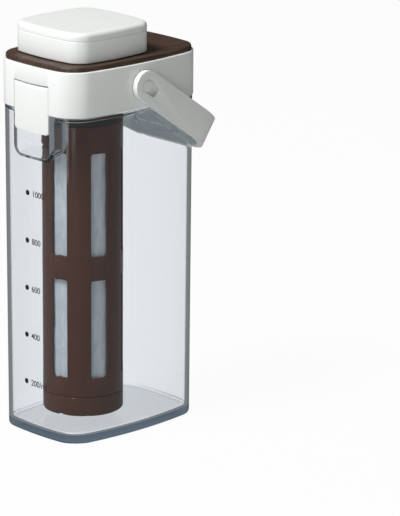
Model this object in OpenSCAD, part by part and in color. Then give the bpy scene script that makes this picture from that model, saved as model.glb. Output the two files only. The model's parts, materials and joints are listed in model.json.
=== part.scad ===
// Cold brew coffee maker: a clear rectangular jug under a clip-on lid with a bail handle,
// and a windowed coffee filter that hangs from a square lift-out stopper knob.
// Millimetres. The origin is the centre of the jug's base, +Z is up, and the narrow front
// face with the volume marks looks along -Y.

/* [Jug] */
// Width of the jug at its shoulder, across the bowed long sides
jug_w = 77; // [74:0.5:90]
// Length of the jug at its shoulder, front to rear
jug_l = 109; // [104:0.5:125]
// How much narrower the base is than the shoulder
draft_w = 1; // [0:0.1:3]
// How much shorter the base is than the shoulder
draft_l = 1.5; // [0:0.1:3]
// Plan radius of the jug's four corners
corner_r = 12; // [11:0.5:19]
// Outward bow of each long side
side_bow = 5; // [3:0.25:6]
// Outward bow of the front and rear faces
end_bow = 2.6; // [1.5:0.1:3]
// Height of the shoulder that the lid's collar covers
jug_h = 202; // [175:1:240]
// Thickness of the jug's walls
jug_wall = 2.5; // [2:0.1:3]
// Thickness of the jug's floor
jug_floor = 4.5; // [3:0.25:7]
// Radius of the edge that the jug stands on
foot_r = 1.8; // [0.8:0.1:2.4]
// Radius inside the jug where its walls meet its floor
floor_fillet = 3; // [1:0.25:5]
// How far the neck stands in from the shoulder's edge
neck_step = 3.2; // [3:0.1:3.6]
// Height of the neck above the shoulder
neck_h = 10; // [9:0.25:11]

/* [Finger scoops] */
// Height of each scoop, from the shoulder down to its lip
scoop_h = 27.5; // [22:0.5:40]
// Depth of each scoop, from the face inwards
scoop_depth = 10.5; // [8:0.25:11]
// How much the scoop's floor rises inwards
scoop_rise = 4.5; // [1:0.25:7]
// Radius of the scoop's lower corners
scoop_r = 4; // [1:0.25:7]

/* [Collar] */
// How far the collar stands proud of the jug on each side
collar_proud = 0.5; // [0.3:0.1:1]
// Height of the collar
collar_h = 27.5; // [26.5:0.25:32]
// Thickness of the collar's walls
collar_wall = 2.2; // [2:0.1:2.4]
// Thickness of the collar's top deck
deck_t = 2.5; // [2.2:0.1:3]
// Shadow gap between the collar and the jug's shoulder
collar_gap = 0.5; // [0.3:0.1:0.8]
// Radius of the collar's top edge
collar_edge = 0.7; // [0.2:0.1:1]

/* [Wood top] */
// Thickness of the wood plate
wood_t = 3; // [2.5:0.25:5]
// How far the wood plate stands in from the collar's edge
wood_inset = 1.25; // [1:0.25:2]
// Radius of the wood plate's top edge
wood_edge = 1.2; // [0.3:0.1:1.6]

/* [Inner lid] */
// Wall of the round turret that holds the mouth
turret_wall = 2.6; // [2:0.1:2.8]
// Thickness of the inner lid's plate
lid_plate = 2.5; // [2:0.1:2.6]
// Wall of the skirt that enters the jug's neck
skirt_wall = 2; // [1.8:0.1:2.4]
// Distance of the seal above the skirt's lower edge
seal_rise = 1.5; // [1:0.1:2.5]
// Height of the seals in the skirt and round the stopper
seal_h = 2.5; // [1.5:0.1:3]
// Depth of the grooves that hold the seals
seal_t = 1.2; // [0.8:0.1:1.3]
// Width of the ring round the turret that the deck is clamped to
clamp_ring = 5.4; // [4.6:0.2:6.4]
// Wall of the bosses that the lid screws enter
boss_wall = 1.8; // [1.4:0.1:2.2]
// Diameter of the screws' shanks
screw_d = 2.4; // [2:0.1:3]
// Diameter of the screws' heads
screw_head_d = 4.8; // [4.2:0.1:5.4]
// Thickness of the screws' heads
screw_head_t = 1.6; // [1.2:0.1:1.8]
// How deep the screws reach below the head
screw_l = 7; // [6:0.5:8]

/* [Filter] */
// Outer diameter of the filter tube
filter_d = 47.5; // [44:0.1:49.5]
// Distance of the filter's and the knob's axis in front of the jug's centre
filter_forward = 13.5; // [12:0.25:15]
// Gap between the filter's cap and the jug's floor
filter_lift = 6.2; // [3:0.1:12]
// Wall of the filter tube
filter_wall = 2; // [1.6:0.1:2.2]
// Height of the twist-off bottom cap
cap_h = 11.9; // [9:0.1:16]
// Thickness of the cap's floor
cap_floor = 2.2; // [1.5:0.1:3]
// Radius of the cap's bottom edge
cap_edge = 1; // [0.3:0.1:1.5]
// Number of windows around the tube
windows = 6; // [4:1:8]
// Width of each window
window_w = 10.25; // [6:0.25:11]
// Radius of the window's corners
window_r = 1.5; // [0.5:0.1:3]
// Solid band between the cap and the lower windows
band_low = 11.4; // [6:0.2:20]
// Height of the lower windows
window_low_h = 62; // [40:0.5:70]
// Solid band between the two rows of windows
band_mid = 14.7; // [6:0.3:20]
// Solid band between the upper windows and the seal ring
band_top = 16.5; // [12:0.3:22]
// Height of the flange that the frame sits on the cap with
frame_floor = 2.5; // [1.5:0.25:4]
// Angle of the first window from the front, towards +X
window_turn = 11; // [0:0.5:30]
// Thickness of the mesh sleeve
mesh_t = 0.6; // [0.4:0.1:1]
// Height of the grey ring near the top of the tube
ring_h = 3.9; // [2:0.1:4]
// Distance of the grey ring's top edge below the jug's shoulder
ring_drop = 6.5; // [3:0.25:8]
// How far the grey ring's face stands in from the tube's
ring_inset = 0.15; // [0:0.05:0.4]
// Depth of the upper tube's spigot in the windowed frame
neck_spigot = 8; // [5:0.5:11]
// Width of the two bayonet lugs
lug_w = 8; // [5:0.5:12]
// Height of the bayonet lugs
lug_h = 3; // [2:0.25:4]
// How far the bayonet lugs stand out past the stopper's bore
lug_grip = 1; // [0.6:0.1:1.2]
// Height of the bayonet lugs above the stopper's lower edge
lug_rise = 6; // [4:0.5:8]
// Clearance beside the lugs in their entry slots
lug_side = 1; // [0.4:0.1:2]
// How far the tube reaches above its lugs
tube_over = 2; // [1:0.5:4]

/* [Knob] */
// Width and length of the square knob
knob_w = 63.75; // [62.5:0.25:66]
// Plan radius of the knob's corners
knob_corner_r = 8; // [6:0.5:14]
// Outward bow of the knob's sides
knob_bow = 2.5; // [1:0.25:3.5]
// Height of the knob's lower body
knob_body_h = 13.2; // [11:0.2:18]
// Height of the knob's cover
knob_cover_h = 5; // [4:0.2:7]
// Radius of the cover's top edge
knob_edge = 2.6; // [1:0.1:3]
// Thickness of the knob's walls
knob_wall = 2.6; // [2:0.1:3.4]
// Thickness of the knob body's floor
knob_floor = 2.5; // [2:0.1:3.5]
// Radius of the ring of screws in the knob
knob_screw_ring = 18; // [14:0.5:20]
// Gap between the knob and the wood plate
knob_gap = 0.5; // [0.3:0.1:1]
// Width of the parting groove between cover and body
parting = 0.4; // [0.2:0.05:0.6]
// Thickness of the stopper's flange
flange_t = 1.7; // [1.4:0.1:2]
// How far the stopper's flange stands in from the turret's edge
flange_inset = 0.6; // [0.3:0.1:1]
// Thickness of the stopper's top
stopper_top = 5; // [4.5:0.1:6]
// Wall of the stopper behind its bayonet groove
stopper_wall = 1.4; // [1.3:0.1:1.8]
// Distance of the stopper's seal below its flange
stopper_seal_drop = 7; // [3:0.5:9]

/* [Handle] */
// Width of the handle's strap
handle_w = 18.5; // [16:0.5:23]
// Thickness of the handle's strap
handle_t = 3.7; // [3:0.1:5]
// Distance from the pivots to the outer face of the crossbar
handle_reach = 76; // [72:0.5:90]
// Outer radius of the handle's two bends
bend_r = 24; // [12:1:34]
// Distance of the pivots behind the jug's centre
pivot_back = 0.5; // [0:0.5:5]
// Distance of the pivots below the collar's top edge
pivot_drop = 13.5; // [13:0.25:15]
// Diameter of the pivot pins
pivot_d = 7.4; // [5:0.1:8]
// Gap between each pivot pin and the recess at its end
recess_side = 0.3; // [0.2:0.1:1]
// How far each recess runs from its pin along the arm
recess_run = 6; // [2:0.5:8]
// Depth of the recess at each pivot pin
recess_deep = 2.4; // [1:0.1:2.6]
// How far each pin's end lies below the arm's outer face
pin_sunk = 0.1; // [0:0.1:1]
// How far each pin's flange reaches past its shank
pin_flange = 1.3; // [0.8:0.1:1.6]
// Thickness of each pin's flange
pin_flange_t = 1.2; // [0.8:0.1:1.6]

/* [Latches] */
// Width of each latch flap
latch_w = 30; // [24:0.5:34]
// How far each flap reaches below the collar
latch_drop = 12.5; // [8:0.25:16]
// Distance of each flap's top edge below the collar's top edge
latch_top = 10.8; // [10.4:0.1:11.4]
// Radius of the flaps' lower corners
latch_corner = 2.5; // [0.5:0.25:5]
// Diameter of the latch hinge pins
latch_pin_d = 1.8; // [1.2:0.1:2.2]
// Width of the cheeks that hold each hinge pin
cheek_w = 4; // [3:0.25:5]
// Depth of the cheeks behind each hinge pin
cheek_t = 2.5; // [2:0.25:3.5]
// How far each hook reaches under the jug's ledge
hook_grip = 1.7; // [1:0.1:2.2]
// Height of each hook
hook_h = 2.8; // [2:0.1:5]
// Width of each hook
hook_w = 20; // [10:0.5:22]

/* [Fits] */
// Gap between pieces that move past each other
gap = 0.3; // [0.2:0.05:0.35]
// Radial clearance of a pin or sleeve that turns in its bore
running = 0.06; // [0.02:0.01:0.1]
// Extra play of the filter's upper tube in the stopper's bore
socket_play = 0.05; // [0:0.01:0.15]
// How deep the pins' flat seats are cut into the collar's bowed walls
seat_skim = 0.05; // [0.02:0.01:0.2]

/* [Hidden] */
$fn = 96;

arc_steps = 9;    // facets in each plan corner
side_steps = 7;   // facets along each bowed side
edge_steps = 4;   // facets across a rounded edge
join = 0.01;      // overlap of shapes that are joined into one solid
over = 1;         // how far a cutting shape runs past what it cuts
boss_sink = 0.4;  // how far the screw bosses stand in the turret's wall
scoop_run = 3 * scoop_depth; // how far the scoop's section runs each way along its slope

// Levels, from the base up
collar_z = jug_h + collar_gap;
collar_top = collar_z + collar_h;
deck_z = collar_top - deck_t;
wood_top_z = collar_top + wood_t;
neck_top = jug_h + neck_h;
scoop_z = jug_h - scoop_h;
ledge_z = collar_z;
lid_plate_top = neck_top + lid_plate;

// Sizes of the outlines
collar_w = jug_w + 2 * collar_proud;
collar_l = jug_l + 2 * collar_proud;
collar_r = corner_r + collar_proud;
neck_in = neck_step + jug_wall;

// Stopper and mouth, from the filter's tube outwards
axis_y = -filter_forward;
filter_r = filter_d / 2;
socket_r = filter_r + gap + socket_play;
lug_r = socket_r + lug_grip;
plug_r = lug_r + gap + stopper_wall;
mouth_r = plug_r + gap;
turret_r = mouth_r + turret_wall;
flange_r = turret_r - flange_inset;
knob_z = wood_top_z + knob_gap;
knob_cover_z = knob_z + knob_body_h;
knob_top = knob_cover_z + knob_cover_h;
knob_screw_z = knob_z + knob_floor;
mouth_z = ledge_z + jug_wall + gap;
turret_top = knob_z - flange_t - gap;
plug_z = mouth_z + gap;
plug_ceiling = knob_z - stopper_top;
plug_seal_z = knob_z - flange_t - stopper_seal_drop - seal_h;
seal_z = mouth_z + seal_rise;
clamp_r = turret_r + clamp_ring;
boss_r = screw_d / 2 + boss_wall;
boss_h = screw_l + screw_head_t - deck_t;
lid_screw_ring = turret_r + boss_r - boss_sink;
lid_screw_z = collar_top - screw_head_t;

// Filter
tube_bore_r = filter_r - filter_wall;
spigot_r = tube_bore_r - filter_wall;
cap_z = jug_floor + filter_lift;
cap_top = cap_z + cap_h;
frame_z = cap_top + gap;
ring_z = jug_h - ring_drop - ring_h;
neck_z = ring_z + ring_h;
lug_z = plug_z + lug_rise;
neck_end = lug_z + lug_h + tube_over;
window_z = [frame_z + band_low, frame_z + band_low + window_low_h + band_mid];
window_h = [window_low_h, ring_z - band_top - window_z[1]];

// Handle
arm_in = collar_w / 2 + gap;
arm_out = arm_in + handle_t;
pivot_z = collar_top - pivot_drop;
pivot_face = collar_w / 2 - collar_wall + seat_skim;
pin_flange_r = pivot_d / 2 + pin_flange;
recess_r = pivot_d / 2 + recess_side;
inner_reach = handle_reach - handle_t;
rest_angle = acos((jug_l / 2 + gap - pivot_back) / norm([inner_reach, handle_w / 2]))
    - atan(handle_w / 2 / inner_reach);

// Latches
latch_z = collar_z - latch_drop;
latch_top_z = collar_top - latch_top;
barrel_r = collar_wall;
latch_pin_y = collar_l / 2 - barrel_r;
latch_pin_z = latch_top_z - barrel_r;
barrel_sweep = norm([barrel_r, barrel_r]) + gap;
hook_root_y = latch_pin_y + barrel_r / 2;
hook_tip_y = jug_l / 2 - neck_step - hook_grip;

white = [0.95, 0.95, 0.93];
clear = [0.80, 0.88, 0.92, 0.35];
walnut = [0.30, 0.19, 0.13];
brown = [0.27, 0.17, 0.13];
grey = [0.30, 0.30, 0.31];
mesh_grey = [0.78, 0.80, 0.82];
silicone = [0.86, 0.87, 0.86];
steel = [0.72, 0.73, 0.75];

// Point t of the way from a to b
function between(a, b, t) = a + (b - a) * t;

// A point of a rounded rectangle of half sizes h, pushed out by the bow of its sides
function bowed(p, h, bow) = [
    p[0] + sign(p[0]) * bow[0] * (1 - pow(p[1] / h[1], 2)) * pow(abs(p[0]) / h[0], 4),
    p[1] + sign(p[1]) * bow[1] * (1 - pow(p[0] / h[0], 2)) * pow(abs(p[1]) / h[1], 4)
];

// Outline w by l with corner radius r and bowed sides, drawn in by d all round
function outline(w, l, r, bow, d = 0) =
    let (h = [w / 2 - bow[0] - d, l / 2 - bow[1] - d], cr = r - d,
        c = [for (s = [[1, 1], [-1, 1], [-1, -1], [1, -1]])
            [s[0] * (h[0] - cr), s[1] * (h[1] - cr)]])
    [for (q = [0 : 3]) each [
        for (i = [0 : arc_steps])
            let (a = 90 * (q + i / arc_steps))
            bowed(c[q] + cr * [cos(a), sin(a)], h, bow),
        for (i = [1 : side_steps - 1])
            let (a = 90 * (q + 1))
            bowed(between(c[q], c[(q + 1) % 4], i / side_steps) + cr * [cos(a), sin(a)], h, bow)
    ]];

// The jug's outline at height z, drawn in by d
function jug_outline(z, d = 0) =
    let (t = 1 - min(z, jug_h) / jug_h)
    outline(jug_w - draft_w * t, jug_l - draft_l * t, corner_r, [side_bow, end_bow], d);

// The collar's outline, drawn in by d
function collar_outline(d = 0) =
    outline(collar_w, collar_l, collar_r, [side_bow, end_bow], d);

// The knob's outline, drawn in by d
function knob_outline(d = 0) =
    outline(knob_w, knob_w, knob_corner_r, [knob_bow, knob_bow], d);

module prism(points, z0, z1)
    translate([0, 0, z0])
        linear_extrude(z1 - z0)
            polygon(points);

// A closed solid through outlines with equal numbers of points, listed from the bottom up as
// [height, outline]
module loft(levels) {
    n = len(levels[0][1]);
    last = len(levels) - 1;
    polyhedron(
        points = [for (level = levels, p = level[1]) [p[0], p[1], level[0]]],
        faces = [
            [for (i = [0 : n - 1]) i],
            for (k = [0 : last - 1], i = [0 : n - 1])
                let (a = k * n + i, b = k * n + (i + 1) % n)
                each [[a, a + n, b + n], [a, b + n, b]],
            [for (i = [n - 1 : -1 : 0]) last * n + i]
        ]);
}

// Steps of a quarter round of radius r, as [distance in from the side, distance from the end]
function rounding(r) = [for (i = [0 : edge_steps])
    let (a = 90 * i / edge_steps)
    [r * (1 - cos(a)), r * (1 - sin(a))]];

// The same steps from the end to the side
function rounding_up(r) = [for (s = rounding(r)) [s[1], s[0]]];

// A square ended plate, w wide and h high, with its two lower corners rounded
module shield(w, h, r) {
    translate([-w / 2, r])
        square([w, h - r]);
    translate([r - w / 2, 0])
        square([w - 2 * r, r + join]);
    for (s = [-1, 1])
        translate([s * (w / 2 - r), r])
            circle(r);
}

// A round bar along X, centred on X = 0
module bar_x(r, length)
    rotate([0, 90, 0])
        cylinder(r = r, h = length, center = true);

module ring(r_out, r_in, z0, z1)
    translate([0, 0, z0])
        difference() {
            cylinder(r = r_out, h = z1 - z0);
            translate([0, 0, -over])
                cylinder(r = r_in, h = z1 - z0 + 2 * over);
        }

module on_axis()
    translate([0, axis_y, 0])
        children();

module both_ends() {
    children();
    mirror([0, 1, 0])
        children();
}

// Copies on a ring of four, turned to the diagonals
module on_four(radius)
    for (a = [45 : 90 : 315])
        rotate([0, 0, a])
            translate([radius, 0, 0])
                children();

// ---- Jug ----

module jug_solid() {
    loft([
        for (s = rounding_up(foot_r)) [s[1], jug_outline(s[1], s[0])],
        [jug_h, jug_outline(jug_h)]
    ]);
    prism(jug_outline(jug_h, neck_step), jug_h - jug_wall, neck_top);
}

module jug_hollow() {
    loft([
        for (s = rounding_up(floor_fillet))
            [jug_floor + s[1], jug_outline(jug_floor + s[1], jug_wall + s[0])],
        [jug_h - jug_wall, jug_outline(jug_h, jug_wall)]
    ]);
    prism(jug_outline(jug_h, neck_in), jug_h - jug_wall - over, neck_top + over);
}

// The front finger scoop, or with grow the wall round it
module scoop(grow) {
    width = latch_w + 2 * gap + 2 * grow;
    reach = scoop_depth + grow;
    intersection() {
        translate([-width / 2, -jug_l / 2 - scoop_depth, scoop_z - scoop_depth])
            cube([width, scoop_depth + reach, ledge_z + grow - scoop_z + scoop_depth]);
        translate([0, -jug_l / 2, scoop_z])
            rotate([90 + atan(scoop_rise / scoop_depth), 0, 0])
                translate([0, -grow, -scoop_run])
                    linear_extrude(2 * scoop_run)
                        shield(width, 2 * scoop_h + scoop_run, scoop_r + grow);
    }
}

module jug()
    color(clear)
        difference() {
            union() {
                difference() {
                    jug_solid();
                    jug_hollow();
                }
                intersection() {
                    jug_solid();
                    both_ends()
                        scoop(jug_wall);
                }
            }
            both_ends()
                scoop(0);
        }

// ---- Collar, wood plate and inner lid ----

// Opening in the collar for the front flap and its hinge
module latch_window() {
    half = latch_w / 2 + gap;
    translate([0, -collar_l / 2 + over + barrel_r, collar_z - over])
        rotate([90, 0, 0])
            linear_extrude(barrel_r + 2 * over)
                translate([-half, 0])
                    square([2 * half, latch_pin_z - collar_z + over]);
    translate([0, -latch_pin_y, latch_pin_z])
        bar_x(barrel_sweep, 2 * half);
}

// Two cheeks inside the collar that hold the front latch's hinge pin
module latch_cheeks()
    for (s = [-1, 1])
        translate([s * (latch_w / 2 + gap + cheek_w / 2), -latch_pin_y, 0])
            translate([-cheek_w / 2, -barrel_r / 2, lid_plate_top + gap])
                cube([cheek_w, barrel_r / 2 + cheek_t, deck_z - lid_plate_top - gap + join]);

module latch_pin_bar(r)
    translate([0, -latch_pin_y, latch_pin_z])
        bar_x(r, latch_w + 2 * cheek_w);

// Screw shank from the head's seat down
module screw_shank(z)
    translate([0, 0, z - screw_l])
        cylinder(d = screw_d, h = screw_l + join);

module collar()
    color(white)
        difference() {
            union() {
                difference() {
                    loft([
                        [collar_z, collar_outline()],
                        for (s = rounding(collar_edge)) [collar_top - s[1], collar_outline(s[0])]
                    ]);
                    prism(collar_outline(collar_wall), collar_z - over, deck_z);
                }
                both_ends()
                    latch_cheeks();
            }
            both_ends() {
                latch_window();
                latch_pin_bar(latch_pin_d / 2);
            }
            on_axis() {
                translate([0, 0, deck_z - over])
                    cylinder(r = turret_r + gap, h = deck_t + 2 * over);
                on_four(lid_screw_ring) {
                    translate([0, 0, lid_screw_z])
                        cylinder(d = screw_head_d, h = screw_head_t + over);
                    screw_shank(lid_screw_z);
                }
            }
            translate([0, pivot_back, pivot_z]) {
                bar_x(pivot_d / 2, collar_w + 2 * over);
                bar_x(pin_flange_r, 2 * pivot_face);
            }
        }

module wood_top()
    color(walnut)
        difference() {
            loft([
                [collar_top, collar_outline(wood_inset)],
                for (s = rounding(wood_edge))
                    [wood_top_z - s[1], collar_outline(wood_inset + s[0])]
            ]);
            on_axis()
                translate([0, 0, collar_top - over])
                    cylinder(r = turret_r + gap, h = wood_t + 2 * over);
        }

// Ring between the jug's neck and the groove in the inner lid's skirt
module skirt_seal(z, h)
    difference() {
        prism(jug_outline(jug_h, neck_in), z, z + h);
        prism(jug_outline(jug_h, neck_in + gap + seal_t), z - over, z + h + over);
    }

module inner_lid()
    color(white)
        difference() {
            union() {
                difference() {
                    prism(jug_outline(jug_h, neck_in + gap), mouth_z, neck_top);
                    prism(jug_outline(jug_h, neck_in + gap + skirt_wall), mouth_z - over,
                        neck_top);
                }
                prism(jug_outline(jug_h, neck_step), neck_top, lid_plate_top);
                on_axis() {
                    translate([0, 0, mouth_z])
                        cylinder(r = turret_r, h = turret_top - mouth_z);
                    translate([0, 0, deck_z - lid_plate])
                        cylinder(r = clamp_r, h = lid_plate);
                    on_four(lid_screw_ring)
                        translate([0, 0, deck_z - boss_h])
                            cylinder(r = boss_r, h = boss_h);
                }
            }
            skirt_seal(seal_z, seal_h);
            on_axis() {
                translate([0, 0, mouth_z - over])
                    cylinder(r = mouth_r, h = turret_top - mouth_z + 2 * over);
                on_four(lid_screw_ring)
                    screw_shank(lid_screw_z);
            }
        }

module lid_gasket()
    color(silicone)
        skirt_seal(seal_z, seal_h);

module lid_screws()
    color(steel)
        on_axis()
            on_four(lid_screw_ring) {
                translate([0, 0, lid_screw_z])
                    cylinder(d = screw_head_d, h = screw_head_t);
                screw_shank(lid_screw_z);
            }

// ---- Handle and its pins ----

// Pin in the collar's right wall, with its flange inside the wall
module pivot_pin()
    translate([0, pivot_back, pivot_z])
        rotate([0, 90, 0]) {
            translate([0, 0, pivot_face - pin_flange_t])
                cylinder(r = pin_flange_r, h = pin_flange_t);
            translate([0, 0, pivot_face - join])
                cylinder(d = pivot_d, h = arm_out - pin_sunk - pivot_face + join);
        }

module right_pivot_pin()
    color(white)
        pivot_pin();

module left_pivot_pin()
    color(white)
        mirror([1, 0, 0])
            pivot_pin();

// Long recess in the handle's right face, from the pin along the arm
module recess()
    translate([arm_out - recess_deep, 0, 0]) {
        for (y = [0, recess_run])
            translate([(recess_deep + over) / 2, y, 0])
                bar_x(recess_r, recess_deep + over);
        translate([0, 0, -recess_r])
            cube([recess_deep + over, recess_run, 2 * recess_r]);
    }

// Bail outline in plan: two arms along +Y and a crossbar, less what lies inside them
module bail() {
    rotate(180)
        translate([0, -handle_reach])
            difference() {
                shield(2 * arm_out, handle_reach + handle_w, bend_r);
                translate([0, handle_t])
                    shield(2 * arm_in, handle_reach + handle_w, bend_r - handle_t);
            }
}

module handle()
    color(white)
        translate([0, pivot_back, pivot_z])
            rotate([-rest_angle, 0, 0])
                difference() {
                    intersection() {
                        linear_extrude(handle_w, center = true)
                            bail();
                        union() {
                            bar_x(handle_w / 2, 2 * arm_out);
                            translate([-arm_out, 0, -handle_w / 2])
                                cube([2 * arm_out, handle_reach, handle_w]);
                        }
                    }
                    bar_x(pivot_d / 2 + running, 2 * arm_out + 2 * over);
                    recess();
                    mirror([1, 0, 0])
                        recess();
                }

// ---- Latches ----

// The front latch: a flap flush with the collar, its hinge barrel and its hook
module latch()
    difference() {
        union() {
            intersection() {
                difference() {
                    prism(collar_outline(), latch_z, latch_top_z);
                    prism(collar_outline(collar_wall), latch_z - over, latch_pin_z);
                }
                union() {
                    translate([0, -latch_pin_y, latch_z])
                        rotate([90, 0, 0])
                            linear_extrude(2 * barrel_r)
                                shield(latch_w, latch_top_z - latch_z, latch_corner);
                    translate([0, -latch_pin_y, latch_pin_z])
                        bar_x(barrel_r, latch_w);
                }
            }
            translate([0, -latch_pin_y, latch_pin_z])
                intersection() {
                    bar_x(barrel_r, latch_w);
                    translate([-latch_w / 2, 0, -barrel_r])
                        cube([latch_w, barrel_r, 2 * barrel_r]);
                }
            translate([-hook_w / 2, -hook_root_y, ledge_z - gap - hook_h])
                cube([hook_w, hook_root_y - hook_tip_y, hook_h]);
        }
        translate([0, -latch_pin_y, latch_pin_z])
            bar_x(latch_pin_d / 2 + running, latch_w + 2 * over);
    }

module front_latch()
    color(white)
        latch();

module rear_latch()
    color(white)
        mirror([0, 1, 0])
            latch();

module front_latch_pin()
    color(steel)
        latch_pin_bar(latch_pin_d / 2);

module rear_latch_pin()
    color(steel)
        mirror([0, 1, 0])
            latch_pin_bar(latch_pin_d / 2);

// ---- Knob and stopper ----

module knob_body()
    color(white)
        on_axis()
            difference() {
                loft([
                    [knob_z, knob_outline()],
                    [knob_cover_z - parting, knob_outline()],
                    [knob_cover_z, knob_outline(parting)]
                ]);
                prism(knob_outline(knob_wall), knob_screw_z, knob_cover_z + over);
                on_four(knob_screw_ring)
                    screw_shank(knob_screw_z);
            }

module knob_cover()
    color(white)
        on_axis()
            difference() {
                union() {
                    loft([
                        [knob_cover_z, knob_outline(parting)],
                        [knob_cover_z + parting, knob_outline()],
                        for (s = rounding(knob_edge)) [knob_top - s[1], knob_outline(s[0])]
                    ]);
                    prism(knob_outline(knob_wall), knob_cover_z - knob_wall,
                        knob_cover_z + join);
                }
                prism(knob_outline(2 * knob_wall), knob_cover_z - knob_wall - over,
                    knob_top - knob_wall);
            }

module knob_screws()
    color(steel)
        on_axis()
            on_four(knob_screw_ring) {
                translate([0, 0, knob_screw_z])
                    cylinder(d = screw_head_d, h = screw_head_t);
                screw_shank(knob_screw_z);
            }

// Cup that closes the lid's mouth and holds the filter by a bayonet groove
module knob_plug()
    color(white)
        on_axis()
            difference() {
                union() {
                    translate([0, 0, plug_z])
                        cylinder(r = plug_r, h = knob_z - plug_z);
                    translate([0, 0, knob_z - flange_t])
                        cylinder(r = flange_r, h = flange_t);
                }
                translate([0, 0, plug_z - over])
                    cylinder(r = socket_r, h = plug_ceiling - plug_z + over);
                translate([0, 0, lug_z - gap])
                    cylinder(r = lug_r + gap, h = lug_h + 2 * gap);
                intersection() {
                    translate([0, 0, plug_z - over])
                        cylinder(r = lug_r + gap, h = lug_z - plug_z + over);
                    translate([-mouth_r, -lug_w / 2 - lug_side, plug_z - over])
                        cube([2 * mouth_r, lug_w + 2 * lug_side, lug_z - plug_z + over]);
                }
                ring(mouth_r, mouth_r - seal_t, plug_seal_z, plug_seal_z + seal_h);
                on_four(knob_screw_ring)
                    screw_shank(knob_screw_z);
            }

module knob_gasket()
    color(silicone)
        on_axis()
            ring(mouth_r - running, mouth_r - seal_t, plug_seal_z, plug_seal_z + seal_h);

// ---- Filter ----

// Top of the filter: a tube with two bayonet lugs and a spigot for the frame
module filter_neck()
    color(brown)
        on_axis()
            difference() {
                union() {
                    translate([0, 0, neck_z])
                        cylinder(r = filter_r, h = neck_end - neck_z);
                    translate([0, 0, ring_z - neck_spigot])
                        cylinder(r = tube_bore_r, h = neck_spigot + ring_h + join);
                    intersection() {
                        translate([0, 0, lug_z])
                            cylinder(r = lug_r, h = lug_h);
                        translate([-lug_w / 2, -mouth_r, lug_z])
                            cube([lug_w, 2 * mouth_r, lug_h]);
                    }
                }
                translate([0, 0, ring_z - neck_spigot - over])
                    cylinder(r = spigot_r, h = neck_end - ring_z + neck_spigot + 2 * over);
            }

module filter_seal_ring()
    color(grey)
        on_axis()
            ring(filter_r - ring_inset, tube_bore_r, ring_z, neck_z);

// One window's cutter, through the wall in front
module window_cut(h)
    rotate([90, 0, 0])
        translate([0, 0, spigot_r - over])
            linear_extrude(filter_r - spigot_r + 2 * over) {
                translate([window_r - window_w / 2, 0])
                    square([window_w - 2 * window_r, h]);
                translate([-window_w / 2, window_r])
                    square([window_w, h - 2 * window_r]);
                for (x = [-1, 1], z = [window_r, h - window_r])
                    translate([x * (window_w / 2 - window_r), z])
                        circle(window_r);
            }

module filter_frame()
    color(brown)
        on_axis()
            difference() {
                union() {
                    ring(filter_r, tube_bore_r, frame_z, ring_z);
                    ring(filter_r - join, spigot_r, frame_z, frame_z + frame_floor);
                    ring(tube_bore_r - running, spigot_r, cap_z + cap_floor + gap,
                        frame_z + join);
                }
                for (i = [0 : windows - 1], row = [0, 1])
                    rotate([0, 0, window_turn + i * 360 / windows])
                        translate([0, 0, window_z[row]])
                            window_cut(window_h[row]);
            }

module filter_mesh()
    color(mesh_grey)
        on_axis()
            ring(tube_bore_r, tube_bore_r - mesh_t, frame_z + frame_floor,
                ring_z - neck_spigot);

module filter_cap()
    color(brown)
        translate([0, axis_y, cap_z])
            difference() {
                rotate_extrude()
                    union() {
                        translate([0, cap_edge])
                            square([filter_r, cap_h - cap_edge]);
                        square([filter_r - cap_edge, cap_edge + join]);
                        translate([filter_r - cap_edge, cap_edge])
                            circle(cap_edge, $fn = 32);
                    }
                translate([0, 0, cap_floor])
                    cylinder(r = tube_bore_r, h = cap_h);
            }

jug();
collar();
wood_top();
inner_lid();
lid_gasket();
lid_screws();
left_pivot_pin();
right_pivot_pin();
handle();
front_latch();
front_latch_pin();
rear_latch();
rear_latch_pin();
knob_cover();
knob_body();
knob_screws();
knob_plug();
knob_gasket();
filter_neck();
filter_seal_ring();
filter_frame();
filter_mesh();
filter_cap();
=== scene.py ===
"""Finishes for a cold brew coffee maker: a clear jug under a white clip-on lid with a walnut
plate and a bail handle, and a brown windowed filter that hangs from a square stopper knob.
Metres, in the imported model's own frame: +Z up, the narrow front with the volume marks at -Y."""
import json
import math

import bmesh
import bpy
from mathutils import Euler, Matrix, Vector


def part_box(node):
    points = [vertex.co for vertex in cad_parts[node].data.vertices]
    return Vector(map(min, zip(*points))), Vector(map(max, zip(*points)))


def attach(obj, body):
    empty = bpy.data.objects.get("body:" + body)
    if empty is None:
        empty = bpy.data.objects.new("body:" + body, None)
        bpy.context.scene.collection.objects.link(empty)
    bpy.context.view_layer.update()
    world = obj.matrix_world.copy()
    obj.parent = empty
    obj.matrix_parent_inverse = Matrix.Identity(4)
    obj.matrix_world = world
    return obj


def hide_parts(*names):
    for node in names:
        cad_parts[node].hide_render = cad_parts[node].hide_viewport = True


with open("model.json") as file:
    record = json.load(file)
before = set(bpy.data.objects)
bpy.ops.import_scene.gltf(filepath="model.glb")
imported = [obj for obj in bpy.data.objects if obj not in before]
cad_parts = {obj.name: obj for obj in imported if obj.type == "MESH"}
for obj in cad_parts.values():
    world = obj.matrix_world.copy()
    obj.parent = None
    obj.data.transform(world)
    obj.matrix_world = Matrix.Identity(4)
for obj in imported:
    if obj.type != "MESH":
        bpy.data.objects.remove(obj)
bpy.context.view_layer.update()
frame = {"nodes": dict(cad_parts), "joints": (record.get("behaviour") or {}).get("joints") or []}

bl_info = {
    "name": "Cold Brew Coffee Maker",
    "version": (1, 0, 0),
    "blender": (4, 5, 0),
    "location": "3D View > Sidebar > Cold Brew",
    "description": "Models and finishes the pieces of a cold brew coffee maker",
    "category": "Object",
}

MM = 0.001

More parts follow.
